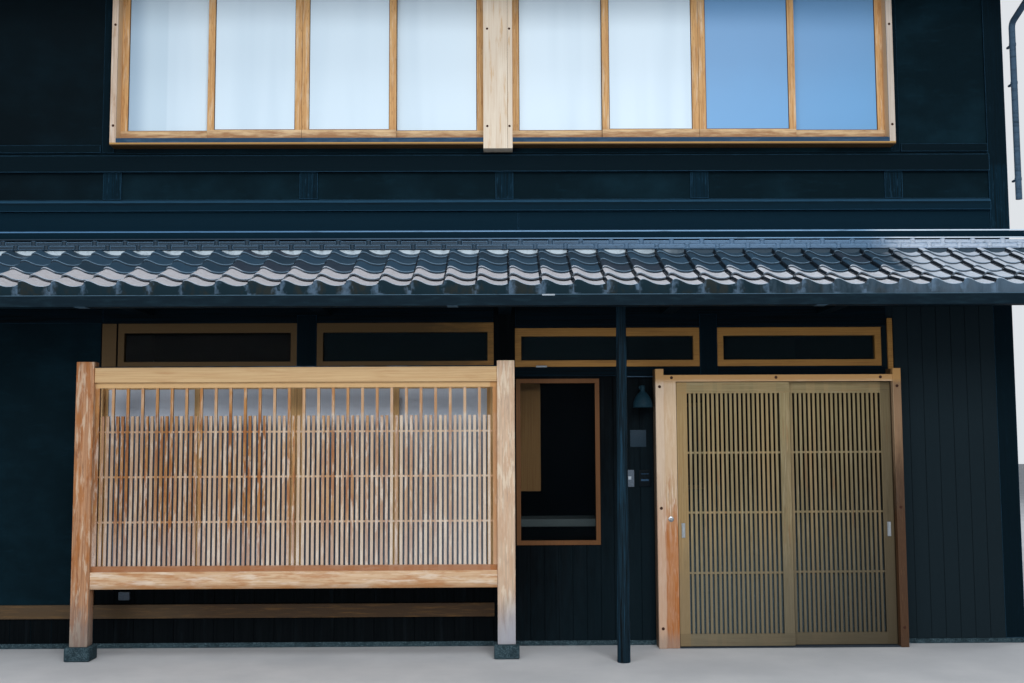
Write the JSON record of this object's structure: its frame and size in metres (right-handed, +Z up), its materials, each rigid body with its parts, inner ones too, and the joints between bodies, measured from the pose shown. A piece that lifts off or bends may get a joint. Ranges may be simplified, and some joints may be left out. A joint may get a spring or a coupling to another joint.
{
  "type": "machiya townhouse",
  "caption": "Narrow-fronted timber townhouse with dark walls, a tiled lower roof over the street, an upper box window, a lattice screen and sliding lattice doors.",
  "frame": {"origin": "middle of the house's bounding box, on the ground", "axes": "+X to the right along the street front as seen from the street, +Y from the street into the house, +Z up"},
  "size_m": [9.48, 8.904, 7.7064],
  "materials": {
    "granite": "split and honed granite",
    "floor_boards": "planed boards",
    "dark_timber": "planed timber stained blue-black",
    "dark_boards": "boards stained blue-black",
    "dark_plaster": "trowelled plaster, blue-black",
    "window_wood": "oiled cypress",
    "brown_wood": "oiled red-brown wood",
    "rail_wood": "oiled board, weathered",
    "screen_wood": "bare cypress, weathering grey at the foot",
    "door_frame_wood": "bare cypress",
    "door_wood": "bare cedar, khaki",
    "log_wood": "peeled log stained dark",
    "roof_tile": "smoked clay tile",
    "gutter_metal": "painted sheet steel",
    "sheet_metal": "folded sheet, matt grey",
    "clear_glass": "clear sheet",
    "frosted_glass": "frosted sheet",
    "lamp_enamel": "enamelled steel",
    "fitting_plastic": "grey plastic and metal"
  },
  "bodies": {
    "root": {"bargeboards": "dark_timber", "base_rail": "rail_wood", "belt_beams": "dark_timber", "belt_struts": "dark_timber", "box_window_frame": "window_wood", "box_window_glass": "clear_glass", "box_window_hood": "sheet_metal", "box_window_post": "window_wood", "box_window_sashes": "window_wood", "box_window_sill": "sheet_metal", "centre_post": "dark_timber", "corner_posts": "dark_timber", "door_lamp": "lamp_enamel", "door_lintel": "door_frame_wood", "door_posts": "door_frame_wood", "door_threshold": "door_frame_wood", "down_pipe": "gutter_metal", "eave_arms": "dark_timber", "eave_purlins": "dark_timber", "foundation": "granite", "front_upper_wall": "dark_plaster", "front_wall_left": "dark_plaster", "front_wall_over_door": "dark_boards", "front_wall_over_window": "dark_boards", "front_wall_reception": "dark_boards", "front_wall_right": "dark_boards", "front_wall_under_window": "dark_boards", "gutters": "gutter_metal", "left_party_wall": "dark_plaster", "log_post": "log_wood", "lower_roof_decks": "dark_timber", "lower_roof_tiles": "roof_tile", "main_ridge": "roof_tile", "main_roof_deck": "dark_timber", "main_roof_tiles": "roof_tile", "rear_lower_wall": "dark_plaster", "rear_upper_wall": "dark_plaster", "rear_window_frames": "window_wood", "rear_window_glass": "clear_glass", "reception_counter": "rail_wood", "reception_window_frame": "brown_wood", "right_party_wall": "dark_plaster", "screen_lattice": "screen_wood", "screen_posts": "screen_wood", "screen_rails": "screen_wood", "screen_stones": "granite", "shopfront_glass": "clear_glass", "street_window_frame": "window_wood", "street_window_glass": "frosted_glass", "street_window_sashes": "window_wood", "transom_frames": "window_wood", "upper_floor": "floor_boards", "wall_fittings": "fitting_plastic", "wall_ridge_tiles": "roof_tile", "window_casing": "rail_wood"},
    "left_leaf": {"door_glass_left": "clear_glass", "door_leaf_left": "door_wood"},
    "right_leaf": {"door_glass_right": "clear_glass", "door_leaf_right": "door_wood"}
  },
  "joints": [
    {"name": "door_left_slide", "type": "slide", "parent": "root", "child": "left_leaf", "axis": [1, 0, 0], "range_m": [0, 0.835]},
    {"name": "door_right_slide", "type": "slide", "parent": "root", "child": "right_leaf", "axis": [-1, 0, 0], "range_m": [0, 0.835]}
  ]
}
